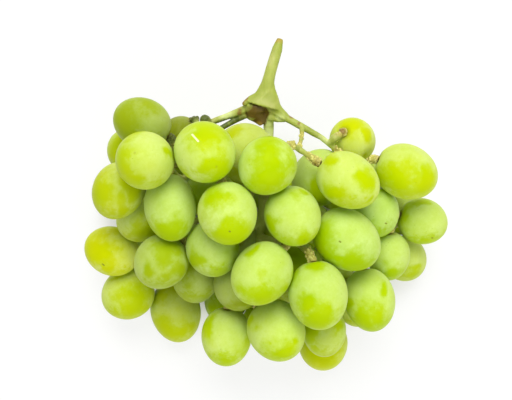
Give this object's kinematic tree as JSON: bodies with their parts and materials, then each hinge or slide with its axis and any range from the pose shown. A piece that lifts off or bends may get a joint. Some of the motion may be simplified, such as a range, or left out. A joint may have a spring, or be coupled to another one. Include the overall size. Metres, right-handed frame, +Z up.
{
  "type": "bunch of grapes",
  "caption": "Bunch of green table grapes lying on its side: plump oval berries on a branching green stalk with a cut end.",
  "frame": {"origin": "on the table, under the middle of the bunch's box", "axes": "+Z up from the table; +Y towards the cut end of the stalk; +X across the two shoulders"},
  "size_m": [0.1632, 0.1494, 0.0954],
  "materials": {
    "grape_skin": "satin, thin waxy bloom over a slightly glossy green skin",
    "stalk": "matt, fresh green herbaceous stalk with brown scars"
  },
  "bodies": {
    "root": {"stem": "stalk", "grape_01": "grape_skin", "grape_02": "grape_skin", "grape_03": "grape_skin", "grape_04": "grape_skin", "grape_05": "grape_skin", "grape_06": "grape_skin", "grape_07": "grape_skin", "grape_08": "grape_skin", "grape_09": "grape_skin", "grape_10": "grape_skin", "grape_11": "grape_skin", "grape_12": "grape_skin", "grape_13": "grape_skin", "grape_14": "grape_skin", "grape_15": "grape_skin", "grape_16": "grape_skin", "grape_17": "grape_skin", "grape_18": "grape_skin", "grape_19": "grape_skin", "grape_20": "grape_skin", "grape_21": "grape_skin", "grape_22": "grape_skin", "grape_23": "grape_skin", "grape_24": "grape_skin", "grape_25": "grape_skin", "grape_26": "grape_skin", "grape_27": "grape_skin", "grape_28": "grape_skin", "grape_29": "grape_skin", "grape_30": "grape_skin", "grape_31": "grape_skin", "grape_32": "grape_skin", "grape_33": "grape_skin", "grape_34": "grape_skin", "grape_35": "grape_skin", "grape_36": "grape_skin", "grape_37": "grape_skin", "grape_38": "grape_skin", "grape_39": "grape_skin", "grape_40": "grape_skin", "grape_41": "grape_skin", "grape_42": "grape_skin", "grape_43": "grape_skin", "grape_44": "grape_skin", "grape_45": "grape_skin", "grape_46": "grape_skin", "grape_47": "grape_skin", "grape_48": "grape_skin", "grape_49": "grape_skin", "grape_50": "grape_skin", "grape_51": "grape_skin", "grape_52": "grape_skin", "grape_53": "grape_skin", "grape_54": "grape_skin", "grape_55": "grape_skin", "grape_56": "grape_skin", "grape_57": "grape_skin", "grape_58": "grape_skin", "grape_59": "grape_skin"}
  },
  "joints": []
}
